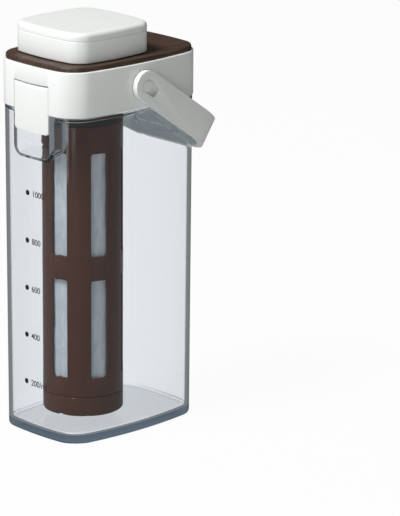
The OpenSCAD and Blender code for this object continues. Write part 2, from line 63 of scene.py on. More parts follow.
JUG_LOW, JUG_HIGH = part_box("jug")
COLLAR_LOW, COLLAR_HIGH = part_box("collar")
WOOD_LOW, WOOD_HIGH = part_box("wood_top")
BODY_LOW, BODY_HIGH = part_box("knob_body")
COVER_LOW, COVER_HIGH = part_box("knob_cover")
LATCH_LOW, LATCH_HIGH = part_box("front_latch")
FRAME_LOW, FRAME_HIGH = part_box("filter_frame")
CAP_LOW, CAP_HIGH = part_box("filter_cap")
RING_LOW, RING_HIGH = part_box("filter_seal_ring")
NECK_LOW, NECK_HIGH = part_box("filter_neck")
PIN_LOW, PIN_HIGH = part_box("right_pivot_pin")
HANDLE_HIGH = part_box("handle")[1]

ARC_STEPS = 14      # steps in each plan corner
SIDE_STEPS = 12     # steps along each bowed side
FILLET_STEPS = 4    # steps in a rounded edge of a profile
TURN_STEPS = 128    # steps round a turned piece
OVER = 1 * MM       # how far a cutting shape runs past what it cuts

NEAR = 0.01 * MM    # how close to a plane an edge still counts as lying in it

CAP_GAP = 0.3 * MM                  # gap between the cap and the tube over it
FRAME_FOOT = CAP_HIGH.z + CAP_GAP   # where the tube's wall starts, over its spigot

TARGET = Vector((0.0, 0.0, 0.13))   # what the lamps face
LAMP_REACH = 2.2                    # how far the lamps stand from it
KEY_SIZE = (0.7, 0.9)               # width and height of the key softbox
STRIP_SIZE = (0.42, 1.6)            # the same of the strip and of its card
REFLECTED_SHARE = 0.95              # plain white share of a background's reflection
FLOOR_GAP = 0.2 * MM                # air under the jug's foot
FLOOR_TONE = (0.74, 0.74, 0.74, 1.0)
SKY_TONE = (0.97, 1.0, 0.95, 1.0)
WHITE = (1.0, 1.0, 1.0, 1.0)

THREAD = 0.42 * MM                  # distance between the mesh's threads
PORE_TINT = (0.45, 0.38, 0.34, 1.0)     # what the walnut's pores leave of its colour
DEPTH_TINT = (0.05, 0.40, 0.72, 1.0)    # what thick clear plastic lets through
DEPTH_DENSITY = 16.0                    # how fast it takes the rest away
LETTER_SPACE = 0.96                 # spacing of the numerals
LETTER_MIDDLE = 0.36                # height of a numeral's middle, as a share of its size


# ---- Sizes and colours that a user may change ----

def length(name, description, millimetres):
    return bpy.props.FloatProperty(name=name, description=description,
                                   default=millimetres * MM, unit="LENGTH")


def angle(name, description, degrees):
    return bpy.props.FloatProperty(name=name, description=description,
                                   default=math.radians(degrees), subtype="ANGLE")


def count(name, description, number):
    return bpy.props.IntProperty(name=name, description=description, default=number, min=1)


def amount(name, description, number):
    return bpy.props.FloatProperty(name=name, description=description, default=number)


def colour(name, description, red, green, blue):
    return bpy.props.FloatVectorProperty(name=name, description=description, size=4,
                                         default=(red, green, blue, 1.0), subtype="COLOR",
                                         min=0.0, max=1.0)


class JugSizes(bpy.types.PropertyGroup):
    draft_w: length("Width draft", "How much narrower the base is than the shoulder", 1)
    draft_l: length("Length draft", "How much shorter the base is than the shoulder", 1.5)
    corner: length("Corner radius", "Plan radius of the jug's corners", 12)
    side_bow: length("Side bow", "Outward bow of each long side", 5)
    end_bow: length("End bow", "Outward bow of the front and rear faces", 2.6)
    shoulder: length("Shoulder height", "Height of the shoulder under the lid", 202)
    wall: length("Wall", "Thickness of the walls", 2.5)
    floor: length("Floor", "Thickness of the floor", 4.5)
    foot: length("Foot radius", "Radius of the edge that the jug stands on", 1.8)
    fillet: length("Floor fillet", "Radius where the inner walls meet the floor", 3)
    neck_step: length("Neck step", "How far the neck stands in from the shoulder", 3.2)
    lip: length("Lip radius", "Radius of the neck's upper edges", 0.6)
    scoop_w: length("Scoop width", "Width of each finger scoop", 30.6)
    scoop_h: length("Scoop height", "Height of each scoop below the shoulder", 27.5)
    scoop_depth: length("Scoop depth", "Depth of each scoop", 10.5)
    scoop_rise: length("Scoop rise", "How much the scoop's floor rises inwards", 4.5)
    scoop_corner: length("Scoop corner", "Radius of the scoop's corners", 4)
    ledge_gap: length("Ledge height", "Height of the latch ledge over the shoulder", 0.5)


class MarkSizes(bpy.types.PropertyGroup):
    first: length("First mark", "Height of the 200 ml mark", 33.1)
    pitch: length("Pitch", "Distance between the volume marks", 29.7)
    dot_x: length("Dots", "Distance of the first dot from the middle of the face", -6.6)
    lean: length("Lean", "How far each mark stands to the right of the one below", 0.65)
    dot: length("Dot width", "Diameter of a dot", 3.3)
    text_x: length("Numerals", "Where the first numerals start, from the dot", 4.1)
    text: length("Numeral size", "Size of the numerals", 5.3)
    stroke: length("Stroke", "How much the numerals' strokes are thickened", 0.04)
    ink: length("Ink", "Thickness of the print", 0.05)
    marks: count("Marks", "Number of volume marks", 5)
    step: count("Step", "Millilitres from mark to mark", 200)


class LidSizes(bpy.types.PropertyGroup):
    wall: length("Collar wall", "Thickness of the collar's walls", 2.2)
    deck: length("Deck", "Thickness of the collar's top deck", 2.5)
    edge: length("Collar edge", "Radius of the collar's top edge", 0.7)
    rim: length("Lower edge", "Radius of the collar's lower edge", 0.35)
    corner: length("Corner radius", "Plan radius of the collar's corners", 12.5)
    turret: length("Mouth hole", "Radius of the hole round the lid's mouth", 30.0)
    mouth_y: length("Mouth offset", "Distance of the mouth's axis from the centre", -13.5)
    wood_inset: length("Wood inset", "How far the wood stands in from the collar", 1.25)
    wood_edge: length("Wood edge", "Radius of the wood's upper edge", 1.2)
    latch_gap: length("Latch gap", "Gap beside each latch", 0.3)
    latch_corner: length("Latch corner", "Radius of the latch's lower corners", 2.5)
    latch_edge: length("Latch edge", "Radius of the latch's edges", 0.3)
    barrel: length("Hinge barrel", "Radius of the latch's hinge barrel", 2.2)
    hook_w: length("Hook width", "Width of each hook", 20)
    hook_h: length("Hook height", "Height of each hook", 2.8)
    hook_grip: length("Hook grip", "How far the hook reaches past the neck's face", 1.7)


class HandleSizes(bpy.types.PropertyGroup):
    strap_w: length("Strap width", "Width of the strap", 18.5)
    strap_t: length("Strap thickness", "Thickness of the strap", 3.7)
    reach: length("Reach", "Distance from the pivots to the outside of the crossbar", 76)
    bend: length("Bend radius", "Outer radius of the two bends", 24)
    edge: length("Strap edge", "Radius of the strap's edges", 0.7)
    recess: length("Recess radius", "Radius of the recess at each pin", 4)
    recess_run: length("Recess run", "How far each recess runs along the arm", 6)
    recess_deep: length("Recess depth", "Depth of the recess at each pin", 2.4)
    pin: length("Pin radius", "Radius of the pivot pins", 3.7)
    pin_flange: length("Pin flange", "Radius of the flange inside the collar", 5)
    flange_t: length("Flange thickness", "Thickness of the pins' flanges", 1.2)
    running: length("Running gap", "Radial clearance round the pins", 0.06)
    pin_edge: length("Pin edge", "Radius of the pins' outer edges", 0.45)
    rest_gap: length("Rest gap", "Gap between the hanging handle and the jug", 0.3)


class KnobSizes(bpy.types.PropertyGroup):
    corner: length("Corner radius", "Plan radius of the knob's corners", 8)
    bow: length("Bow", "Outward bow of the knob's sides", 2.5)
    edge: length("Top edge", "Radius of the cover's top edge", 2.6)
    wall: length("Wall", "Thickness of the knob's walls", 2.6)
    floor: length("Floor", "Thickness of the body's floor", 2.5)
    parting: length("Parting", "Width of the parting groove", 0.4)
    lower_edge: length("Lower edge", "Radius of the body's lower edge", 0.6)


class FilterSizes(bpy.types.PropertyGroup):
    wall: length("Wall", "Wall of the tube", 2)
    windows: count("Windows", "Number of windows in each row", 6)
    window_w: length("Window width", "Width of each window", 10.25)
    window_corner: length("Window corner", "Radius of the windows' corners", 1.5)
    window_turn: angle("First window", "Angle of the first window from the front", 11)
    window_edge: length("Window edge", "Radius of the windows' rims", 0.25)
    band_low: length("Lower band", "Solid band under the lower windows", 11.4)
    low_h: length("Lower windows", "Height of the lower windows", 62)
    band_mid: length("Middle band", "Solid band between the rows", 14.7)
    band_top: length("Upper band", "Solid band over the upper windows", 16.5)
    edge: length("Edges", "Radius of the tube's end edges", 0.35)
    cap_floor: length("Cap floor", "Thickness of the cap's floor", 2.2)
    cap_edge: length("Cap edge", "Radius of the cap's lower edge", 1.2)
    flange: length("Frame flange", "Height of the frame's lower flange", 2.5)
    mesh_t: length("Mesh", "Thickness of the mesh sleeve", 0.6)
    ripple: length("Ripple", "Height of the ripples in the mesh sleeve", 0.35)
    lug_w: length("Lug width", "Width of the bayonet lugs", 8)
    lug_h: length("Lug height", "Height of the bayonet lugs", 3)
    lug_r: length("Lug radius", "Radius of the bayonet lugs", 25.1)
    tube_over: length("Tube top", "How far the tube reaches over the lugs", 2)


class Finishes(bpy.types.PropertyGroup):
    white: colour("White", "Satin white of the lid, knob and handle", 0.87, 0.885, 0.875)
    brown: colour("Brown", "Gloss brown of the filter", 0.072, 0.026, 0.015)
    walnut: colour("Walnut", "Light tone of the walnut", 0.105, 0.062, 0.040)
    walnut_dark: colour("Walnut grain", "Dark tone of the walnut", 0.020, 0.010, 0.006)
    grey: colour("Grey", "Dark grey of the seal ring", 0.020, 0.019, 0.020)
    mesh: colour("Mesh", "Pale grey of the filter mesh", 0.62, 0.67, 0.72)
    silicone: colour("Silicone", "Milky white of the seals", 0.74, 0.76, 0.75)
    steel: colour("Steel", "Plain steel of the screws and pins", 0.56, 0.57, 0.58)
    clear: colour("Clear", "Tint of the clear plastic", 0.990, 0.994, 0.996)
    ink: colour("Ink", "Black of the volume marks", 0.012, 0.012, 0.013)


class StageValues(bpy.types.PropertyGroup):
    camera_x: length("Camera X", "Where the camera stands", 1578.15)
    camera_y: length("Camera Y", "Where the camera stands", -1435.92)
    camera_z: length("Camera Z", "Where the camera stands", 714.01)
    yaw: angle("Yaw", "Which way the camera looks round the object", 46.0516)
    pitch: angle("Pitch", "How far the camera looks down", 16.0136)
    roll: angle("Roll", "How far the camera leans", 0.3776)
    focal: amount("Focal length", "Focal length in millimetres on a 36 mm frame", 253.70)
    key: amount("Key light", "Watts of the key softbox", 51.0)
    key_turn: angle("Key turn", "How far the key softbox stands round from the front", -5.0)
    key_height: angle("Key height", "Elevation of the key softbox", 57.0)
    strip: amount("Strip light", "Watts of the upright strip softbox", 4.0)
    card: amount("Card light", "Watts of the strip that only shows in reflections", 7.0)
    strip_turn: angle("Strip turn", "How far the strip stands round from the front", 22.0)
    sky: amount("Sky", "Strength of the even light from all round", 0.22)
    floor_white: amount("Floor white", "How much of the floor's white doesn't take shadow", 0.95)
    floor_shine: amount("Floor shine", "How bright the floor looks in reflections", 0.08)
    sky_shine: amount("Sky shine", "How bright the surroundings look in reflections", 0.05)
    inner_shine: amount("Inner shine", "The same in reflections inside clear walls", 0.22)


SETTINGS = {"jug": JugSizes, "marks": MarkSizes, "lid": LidSizes, "handle": HandleSizes,
            "knob": KnobSizes, "filter": FilterSizes, "finish": Finishes,
            "stage": StageValues}


def settings(name):
    return getattr(bpy.context.scene, "coldbrew_" + name)


# ---- Shapes ----

def bowed(point, half, bow):
    """A point of a rounded rectangle, pushed out by the bow of the sides."""
    x, y = point
    out_x = bow[0] * (1 - (y / half[1]) ** 2) * (abs(x) / half[0]) ** 4
    out_y = bow[1] * (1 - (x / half[0]) ** 2) * (abs(y) / half[1]) ** 4
    return Vector((x + math.copysign(out_x, x), y + math.copysign(out_y, y)))


def outline(width, depth, radius, bow, inset=0.0, centre=(0.0, 0.0)):
    """A rounded rectangle with bowed sides, drawn in by an inset, counterclockwise."""
    half = Vector((width / 2 - bow[0] - inset, depth / 2 - bow[1] - inset))
    turn = radius - inset
    hubs = [Vector((sx * (half.x - turn), sy * (half.y - turn)))
            for sx, sy in ((1, 1), (-1, 1), (-1, -1), (1, -1))]
    points = []
    for quarter, hub in enumerate(hubs):
        start = quarter * math.pi / 2
        for step in range(ARC_STEPS + 1):
            a = start + step / ARC_STEPS * math.pi / 2
            points.append(bowed(hub + turn * Vector((math.cos(a), math.sin(a))), half, bow))
        a = start + math.pi / 2
        out = turn * Vector((math.cos(a), math.sin(a)))
        following = hubs[(quarter + 1) % 4]
        for step in range(1, SIDE_STEPS):
            points.append(bowed(hub.lerp(following, step / SIDE_STEPS) + out, half, bow))
    return [point + Vector(centre) for point in points]


def rounded(corners, closed=False, steps=FILLET_STEPS):
    """A polyline through (across, up, radius) corners with its corners rounded."""
    line = []
    last = len(corners) - 1
    for i, (u, v, radius) in enumerate(corners):
        here = Vector((u, v))
        if radius <= 0 or (not closed and i in (0, last)):
            line.append(here)
            continue
        before = (Vector(corners[i - 1][:2]) - here).normalized()
        after = (Vector(corners[(i + 1) % len(corners)][:2]) - here).normalized()
        half = before.angle(after) / 2
        hub = here + (before + after).normalized() * (radius / math.sin(half))
        first = here + before * (radius / math.tan(half)) - hub
        second = here + after * (radius / math.tan(half)) - hub
        sweep = first.angle_signed(second)
        for step in range(steps + 1):
            line.append(hub + Matrix.Rotation(-sweep * step / steps, 2) @ first)
    return line


def select_only(*pieces):
    """Selects these pieces alone, with the first as the active one."""
    bpy.ops.object.select_all(action="DESELECT")
    for piece in pieces:
        piece.select_set(True)
    bpy.context.view_layer.objects.active = pieces[0]


def named(name):
    """The object that was just added, under its name."""
    piece = bpy.context.object
    piece.name = piece.data.name = name
    return piece


def keep_place():
    """Puts the selected piece's place, turn and scale in its mesh."""
    bpy.ops.object.transform_apply(location=True, rotation=True, scale=True)


def weld(threshold):
    """Joins the edited mesh's vertices that lie together, and turns its faces outwards."""
    bpy.ops.mesh.select_all(action="SELECT")
    bpy.ops.mesh.remove_doubles(threshold=threshold)
    bpy.ops.mesh.normals_make_consistent(inside=False)


def edit(piece):
    select_only(piece)
    bpy.ops.object.mode_set(mode="EDIT")


def leave_edit():
    bpy.ops.object.mode_set(mode="OBJECT")


def fresh_circle(name, corners):
    """A filled circle primitive with one vertex for each corner, left in edit mode."""
    bpy.ops.object.select_all(action="DESELECT")
    bpy.ops.mesh.primitive_circle_add(vertices=corners, radius=1.0, fill_type="NGON")
    piece = named(name)
    bpy.ops.object.mode_set(mode="EDIT")
    mesh = bmesh.from_edit_mesh(piece.data)
    place = mesh.verts.layers.int.new("place")
    for index, vert in enumerate(mesh.verts):
        vert[place] = index
    bmesh.update_edit_mesh(piece.data)
    return piece


def lay_rim(piece, points):
    """Moves the selected rim, vertex by vertex, to the points."""
    mesh = bmesh.from_edit_mesh(piece.data)
    place = mesh.verts.layers.int["place"]
    for vert in mesh.verts:
        if vert.select:
            vert.co = points[vert[place]]
    bmesh.update_edit_mesh(piece.data)


def drop_marks(piece):
    """Removes the helper layer that numbers the rim's vertices."""
    attribute = piece.data.attributes.get("place")
    if attribute is not None:
        piece.data.attributes.remove(attribute)


def lofted(name, rims):
    """A closed solid through rims of points, each extruded from the one before."""
    piece = fresh_circle(name, len(rims[0]))
    lay_rim(piece, rims[0])
    for rim in rims[1:]:
        bpy.ops.mesh.extrude_region_move()
        lay_rim(piece, rim)
    weld(0.00002 * MM)
    leave_edit()
    drop_marks(piece)
    return piece


def stacked(name, profile, shape):
    """A solid whose plan is shape(inset, height), through the profile's (inset, height)."""
    return lofted(name, [[Vector((p.x, p.y, v)) for p in shape(u, v)] for u, v in profile])


def turned(name, profile, centre=(0.0, 0.0)):
    """A ring or tube: a closed profile of (radius, height), spun about an upright axis."""
    piece = fresh_circle(name, len(profile))
    lay_rim(piece, [Vector((u, 0.0, v)) for u, v in profile])
    bpy.ops.mesh.delete(type="ONLY_FACE")
    bpy.ops.mesh.select_all(action="SELECT")
    bpy.ops.mesh.spin(steps=TURN_STEPS, angle=2 * math.pi, center=(0, 0, 0), axis=(0, 0, 1))
    weld(0.001 * MM)
    bpy.ops.transform.translate(value=(centre[0], centre[1], 0.0))
    leave_edit()
    drop_marks(piece)
    return piece


def block(name, low, high):
    """A box between two corners, with its place in its mesh."""
    bpy.ops.object.select_all(action="DESELECT")
    low, high = Vector(low), Vector(high)
    bpy.ops.mesh.primitive_cube_add(size=1.0, location=(low + high) / 2)
    piece = named(name)
    piece.scale = high - low
    keep_place()
    return piece


def rod(name, radius, low, high, axis="Z", centre=(0.0, 0.0, 0.0), corners=96):
    """A round bar from low to high along an axis, with its place in its mesh."""
    bpy.ops.object.select_all(action="DESELECT")
    turn = {"X": (0.0, math.pi / 2, 0.0), "Y": (math.pi / 2, 0.0, 0.0), "Z": (0.0,) * 3}[axis]
    along = Vector([float(axis == letter) for letter in "XYZ"])
    bpy.ops.mesh.primitive_cylinder_add(vertices=corners, radius=radius, depth=high - low,
                                        location=Vector(centre) + along * (low + high) / 2,
                                        rotation=turn)
    piece = named(name)
    keep_place()
    return piece


def combine(piece, others, operation):
    """Cuts the others from the piece, or joins them to it, and removes them."""
    for other in others:
        modifier = piece.modifiers.new("Combine", "BOOLEAN")
        modifier.operation = operation
        modifier.solver = "EXACT"
        modifier.object = other
        select_only(piece)
        bpy.ops.object.modifier_apply(modifier=modifier.name)
        bpy.data.objects.remove(other)
    return piece


def cut(piece, *others):
    return combine(piece, others, "DIFFERENCE")


def fused(piece, *others):
    return combine(piece, others, "UNION")


def bevel_edges(piece, chosen, radius, steps=FILLET_STEPS):
    """Rounds the edges for which chosen(middle, along) is true."""
    edit(piece)
    bpy.ops.mesh.select_mode(type="EDGE")
    bpy.ops.mesh.select_all(action="DESELECT")
    mesh = bmesh.from_edit_mesh(piece.data)
    for edge in mesh.edges:
        one, other = (vert.co for vert in edge.verts)
        edge.select_set(chosen((one + other) / 2, (other - one).normalized()))
    bmesh.update_edit_mesh(piece.data)
    bpy.ops.mesh.bevel(offset=radius, segments=steps, profile=0.5, affect="EDGES")
    bpy.ops.mesh.select_mode(type="VERT")
    leave_edit()
    return piece


def soften(piece, radius, steps=2, over=40):
    """Rounds every edge that is sharper than an angle."""
    modifier = piece.modifiers.new("Soften", "BEVEL")
    modifier.width = radius
    modifier.segments = steps
    modifier.limit_method = "ANGLE"
    modifier.angle_limit = math.radians(over)
    bpy.context.view_layer.objects.active = piece
    bpy.ops.object.modifier_apply(modifier=modifier.name)
    return piece


def mirrored(piece, name, axis):
    """A copy on the other side of the plane across an axis, with its own mesh."""
    select_only(piece)
    bpy.ops.object.duplicate()
    copy = named(name)
    copy.scale["XYZ".index(axis)] = -1.0
    keep_place()
    edit(copy)
    bpy.ops.mesh.select_all(action="SELECT")
    bpy.ops.mesh.normals_make_consistent(inside=False)
    leave_edit()
    return copy


def place(piece, rotation, location):
    """Turns and moves a piece, and puts its place in its mesh."""
    select_only(piece)
    piece.rotation_euler = Euler(rotation)
    piece.location = location
    keep_place()
    return piece


def dress(piece, material, slot, body, *nodes, smooth=32):
    """Gives a piece its finish, its body and the nodes that it stands for."""
    select_only(piece)
    bpy.ops.object.shade_smooth_by_angle(angle=math.radians(smooth))
    piece.data.materials.clear()
    piece.data.materials.append(material)
    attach(piece, body)
    if nodes:
        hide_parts(*nodes)
    return piece


# ---- Finishes ----

def shader_of(name):
    """A new material with the given name, and its shader and node tree."""
    material = bpy.data.materials.get(name)
    if material is not None:
        return material, None, None
    material = bpy.data.materials.new(name)
    material.use_nodes = True
    tree = material.node_tree
    return material, tree.nodes["Principled BSDF"], tree


def add(tree, kind, **values):
    """A node of a kind, with its properties or its inputs set by name."""
    node = tree.nodes.new(kind)
    for key, value in values.items():
        if key in node.inputs:
            node.inputs[key].default_value = value
        else:
            setattr(node, key, value)
    return node


def calc(tree, operation, *values):
    """What a Math node makes of numbers and other nodes' outputs."""
    node = add(tree, "ShaderNodeMath", operation=operation)
    for place_in, value in zip(node.inputs, values):
        if isinstance(value, bpy.types.NodeSocket):
            tree.links.new(value, place_in)
        else:
            place_in.default_value = value
    return node.outputs["Value"]


def surface(tree, output, share, under, over):
    """Gives an output node a surface of two shaders, with a share of the second."""
    mix = add(tree, "ShaderNodeMixShader")
    tree.links.new(share, mix.inputs["Fac"])
    tree.links.new(under, mix.inputs[1])
    tree.links.new(over, mix.inputs[2])
    tree.links.new(mix.outputs["Shader"], tree.nodes[output].inputs["Surface"])


def object_point(tree, scale=(1.0, 1.0, 1.0), location=(0.0, 0.0, 0.0)):
    """The surface point in the object's own coordinates, through a Mapping node."""
    source = add(tree, "ShaderNodeTexCoord")
    mapping = add(tree, "ShaderNodeMapping", Scale=scale, Location=location)
    tree.links.new(source.outputs["Object"], mapping.inputs["Vector"])
    return mapping.outputs["Vector"]


def noise(tree, point, scale, detail=2.0, roughness=0.5, distortion=0.0):
    node = add(tree, "ShaderNodeTexNoise", Scale=scale, Detail=detail, Roughness=roughness,
               Distortion=distortion)
    tree.links.new(point, node.inputs["Vector"])
    return node.outputs["Fac"]


def ramp(tree, value, low, high):
    """A value from 0 to 1 spread over low to high."""
    node = add(tree, "ShaderNodeMapRange")
    node.inputs["To Min"].default_value = low
    node.inputs["To Max"].default_value = high
    tree.links.new(value, node.inputs["Value"])
    return node.outputs["Result"]


def blend_colours(tree, factor, first, second):
    node = add(tree, "ShaderNodeMix", data_type="RGBA")
    tree.links.new(factor, node.inputs["Factor"])
    node.inputs[6].default_value = first
    node.inputs[7].default_value = second
    return node.outputs[2]


def bump(tree, shader, height, distance, strength=1.0):
    node = add(tree, "ShaderNodeBump", Distance=distance, Strength=strength)
    tree.links.new(height, node.inputs["Height"])
    tree.links.new(node.outputs["Normal"], shader.inputs["Normal"])


def darker(tone, share):
    return [part * share for part in tone[:3]] + [1.0]


def moulded(name, tone, roughness, spread, grain, depth, shade=0.96):
    """Moulded plastic: fine surface grain, uneven gloss and faint flow marks."""
    material, shader, tree = shader_of(name)
    if tree is None:
        return material
    point = object_point(tree)
    flow = noise(tree, point, 18.0, detail=3.0)
    tree.links.new(blend_colours(tree, flow, darker(tone, shade), tone),
                   shader.inputs["Base Color"])
    gloss = noise(tree, point, 120.0, detail=2.0)
    tree.links.new(ramp(tree, gloss, roughness - spread, roughness + spread),
                   shader.inputs["Roughness"])
    bump(tree, shader, noise(tree, point, grain, detail=2.0), depth)
    return material


def white_plastic():
    return moulded("satin_white", settings("finish").white, 0.38, 0.05, 2600.0, 0.012 * MM,
                   shade=0.975)


def brown_plastic():
    return moulded("gloss_brown", settings("finish").brown, 0.16, 0.03, 500.0, 0.004 * MM,
                   shade=0.88)


def grey_rubber():
    return moulded("seal_grey", settings("finish").grey, 0.42, 0.06, 2000.0, 0.02 * MM,
                   shade=0.8)


def milky_silicone():
    return moulded("milky_silicone", settings("finish").silicone, 0.45, 0.06, 1800.0,
                   0.01 * MM, shade=0.93)


def plain_steel():
    """Turned stainless steel with fine rings of tool marks."""
    material, shader, tree = shader_of("turned_steel")
    if tree is None:
        return material
    shader.inputs["Metallic"].default_value = 1.0
    tone = settings("finish").steel
    point = object_point(tree)
    marks = noise(tree, point, 1500.0, detail=3.0)
    tree.links.new(blend_colours(tree, marks, darker(tone, 0.85), tone),
                   shader.inputs["Base Color"])
    tree.links.new(ramp(tree, marks, 0.22, 0.36), shader.inputs["Roughness"])
    bump(tree, shader, marks, 0.004 * MM)
    return material


def black_ink():
    return moulded("black_ink", settings("finish").ink, 0.45, 0.08, 3000.0, 0.004 * MM,
                   shade=0.7)


def walnut_wood():
    """Oiled walnut: long figure, fine pores and darker growth lines along Y."""
    material, shader, tree = shader_of("oiled_walnut")
    if tree is None:
        return material
    values = settings("finish")
    along = object_point(tree, scale=(1.0, 0.07, 1.0))
    figure = noise(tree, along, 95.0, detail=5.0, roughness=0.62, distortion=0.6)
    lines = add(tree, "ShaderNodeTexWave", wave_type="BANDS", bands_direction="X",
                Scale=85.0, Distortion=5.0, Detail=3.0)
    lines.inputs["Detail Scale"].default_value = 1.6
    tree.links.new(object_point(tree, scale=(1.0, 0.12, 0.6)), lines.inputs["Vector"])
    pores = noise(tree, object_point(tree, scale=(1.0, 0.035, 1.0)), 1500.0, detail=2.0)
    tone = calc(tree, "MULTIPLY_ADD", lines.outputs["Fac"], 0.38,
                ramp(tree, figure, -0.35, 1.0))
    dark = add(tree, "ShaderNodeMix", data_type="RGBA", blend_type="MULTIPLY")
    dark.inputs[7].default_value = PORE_TINT
    tree.links.new(blend_colours(tree, tone, values.walnut_dark, values.walnut), dark.inputs[6])
    clamp = add(tree, "ShaderNodeClamp")
    tree.links.new(ramp(tree, pores, 1.0, -1.6), clamp.inputs["Value"])
    tree.links.new(clamp.outputs["Result"], dark.inputs["Factor"])
    tree.links.new(dark.outputs[2], shader.inputs["Base Color"])
    tree.links.new(ramp(tree, pores, 0.62, 0.34), shader.inputs["Roughness"])
    bump(tree, shader, pores, 0.05 * MM, strength=0.7)
    return material


def filter_cloth():
    """Fine nylon mesh: a plain weave that wraps the sleeve, half clear to light, with painted shade
    in patches where its crumples would be shaded.
    """
    material, shader, tree = shader_of("nylon_mesh")
    if tree is None:
        return material
    tone = settings("finish").mesh
    radius = (FRAME_HIGH.x - FRAME_LOW.x) / 2
    source = add(tree, "ShaderNodeTexCoord")
    split = add(tree, "ShaderNodeSeparateXYZ")
    tree.links.new(source.outputs["Object"], split.inputs["Vector"])
    deep = calc(tree, "SUBTRACT", split.outputs["Y"], settings("lid").mouth_y)
    turn = calc(tree, "ARCTAN2", deep, split.outputs["X"])
    waves = []
    for value, factor in ((turn, radius), (split.outputs["Z"], 1.0)):
        phase = calc(tree, "MULTIPLY", value, 2 * math.pi * factor / THREAD)
        waves.append(calc(tree, "ABSOLUTE", calc(tree, "SINE", phase)))
    weave = calc(tree, "MAXIMUM", *waves)
    # Painted shade: a soft noise darkens the mesh's colour in patches and stands in for the shade
    # in the sleeve's crumples.
    painted_crease_shade = noise(tree, object_point(tree, scale=(1.0, 1.0, 0.4)), 150.0, detail=5.0,
                    roughness=0.6, distortion=1.5)
    # The weave's threads and the painted crease shade together set how dark the mesh's colour is.
    tint = calc(tree, "MULTIPLY", weave, ramp(tree, painted_crease_shade, 0.15, 1.6))
    tree.links.new(blend_colours(tree, tint, darker(tone, 0.5), tone),
                   shader.inputs["Base Color"])
    shader.inputs["Roughness"].default_value = 0.55
    bump(tree, shader, weave, 0.06 * MM, strength=0.6)
    return material


def reflected_ray(tree, path):
    """1 for a ray that a surface reflects, and 0 for one that it lets through."""
    apart = calc(tree, "SUBTRACT", path.outputs["Is Glossy Ray"],
                 path.outputs["Is Transmission Ray"])
    return calc(tree, "GREATER_THAN", apart, 0.5)


def clear_plastic():
    """Polished clear plastic. Lamps shine through it, so that what it holds is lit."""
    material, shader, tree = shader_of("polished_clear")
    if tree is None:
        return material
    shader.inputs["Base Color"].default_value = settings("finish").clear
    shader.inputs["Transmission Weight"].default_value = 1.0
    shader.inputs["IOR"].default_value = 1.5
    depth = add(tree, "ShaderNodeVolumeAbsorption", Color=DEPTH_TINT, Density=DEPTH_DENSITY)
    tree.links.new(depth.outputs["Volume"], tree.nodes["Material Output"].inputs["Volume"])
    point = object_point(tree)
    smears = noise(tree, point, 30.0, detail=3.0)
    tree.links.new(ramp(tree, smears, 0.0, 0.02), shader.inputs["Roughness"])
    bump(tree, shader, noise(tree, point, 22.0, detail=1.0), 0.02 * MM, strength=0.5)
    path = add(tree, "ShaderNodeLightPath")
    plain = calc(tree, "MAXIMUM", path.outputs["Is Diffuse Ray"], reflected_ray(tree, path))
    either = calc(tree, "MAXIMUM", path.outputs["Is Shadow Ray"], plain)
    through = add(tree, "ShaderNodeBsdfTransparent", Color=settings("finish").clear)
    surface(tree, "Material Output", either, shader.outputs["BSDF"], through.outputs["BSDF"])
    return material


# ---- Jug ----

def jug_outline(height, inset=0.0):
    """The jug's plan at a height, drawn in by an inset."""
    sizes = settings("jug")
    share = 1 - min(height, sizes.shoulder) / sizes.shoulder
    width = JUG_HIGH.x - JUG_LOW.x - sizes.draft_w * share
    depth = JUG_HIGH.y - JUG_LOW.y - sizes.draft_l * share
    return outline(width, depth, sizes.corner, (sizes.side_bow, sizes.end_bow), inset)


def jug_face(x, height):
    """How far the jug's front face stands from the centre at a point of the face."""
    sizes = settings("jug")
    share = 1 - height / sizes.shoulder
    half_x = (JUG_HIGH.x - JUG_LOW.x - sizes.draft_w * share) / 2 - sizes.side_bow
    half_y = (JUG_HIGH.y - JUG_LOW.y - sizes.draft_l * share) / 2 - sizes.end_bow
    return half_y + sizes.end_bow * (1 - (x / half_x) ** 2)


def scoop_cutter(name, grow):
    """The front finger scoop's space, or with grow the wall round it."""
    sizes = settings("jug")
    half = sizes.scoop_w / 2 + grow
    front = JUG_LOW.y
    low = sizes.shoulder - sizes.scoop_h
    high = sizes.shoulder + sizes.ledge_gap + grow
    slope = sizes.scoop_rise / sizes.scoop_depth
    piece = block(name, (-half, front - sizes.scoop_depth, low),
                  (half, front + sizes.scoop_depth + grow, high))
    corner = sizes.scoop_corner + grow
    bevel_edges(piece, lambda at, way: abs(way.y) > 0.9 and at.z < high - OVER, corner, 8)
    deepest = front + sizes.scoop_depth + grow
    bevel_edges(piece, lambda at, way: at.y > deepest - NEAR and at.z < high - OVER
                and not (abs(way.x) < 0.1 and abs(way.z) < 0.1), sizes.scoop_corner / 2, 5)
    drop = grow * math.hypot(1.0, slope)
    for vert in piece.data.vertices:
        if vert.co.z < high - OVER:
            vert.co.z += slope * (vert.co.y - front) - drop
    return piece


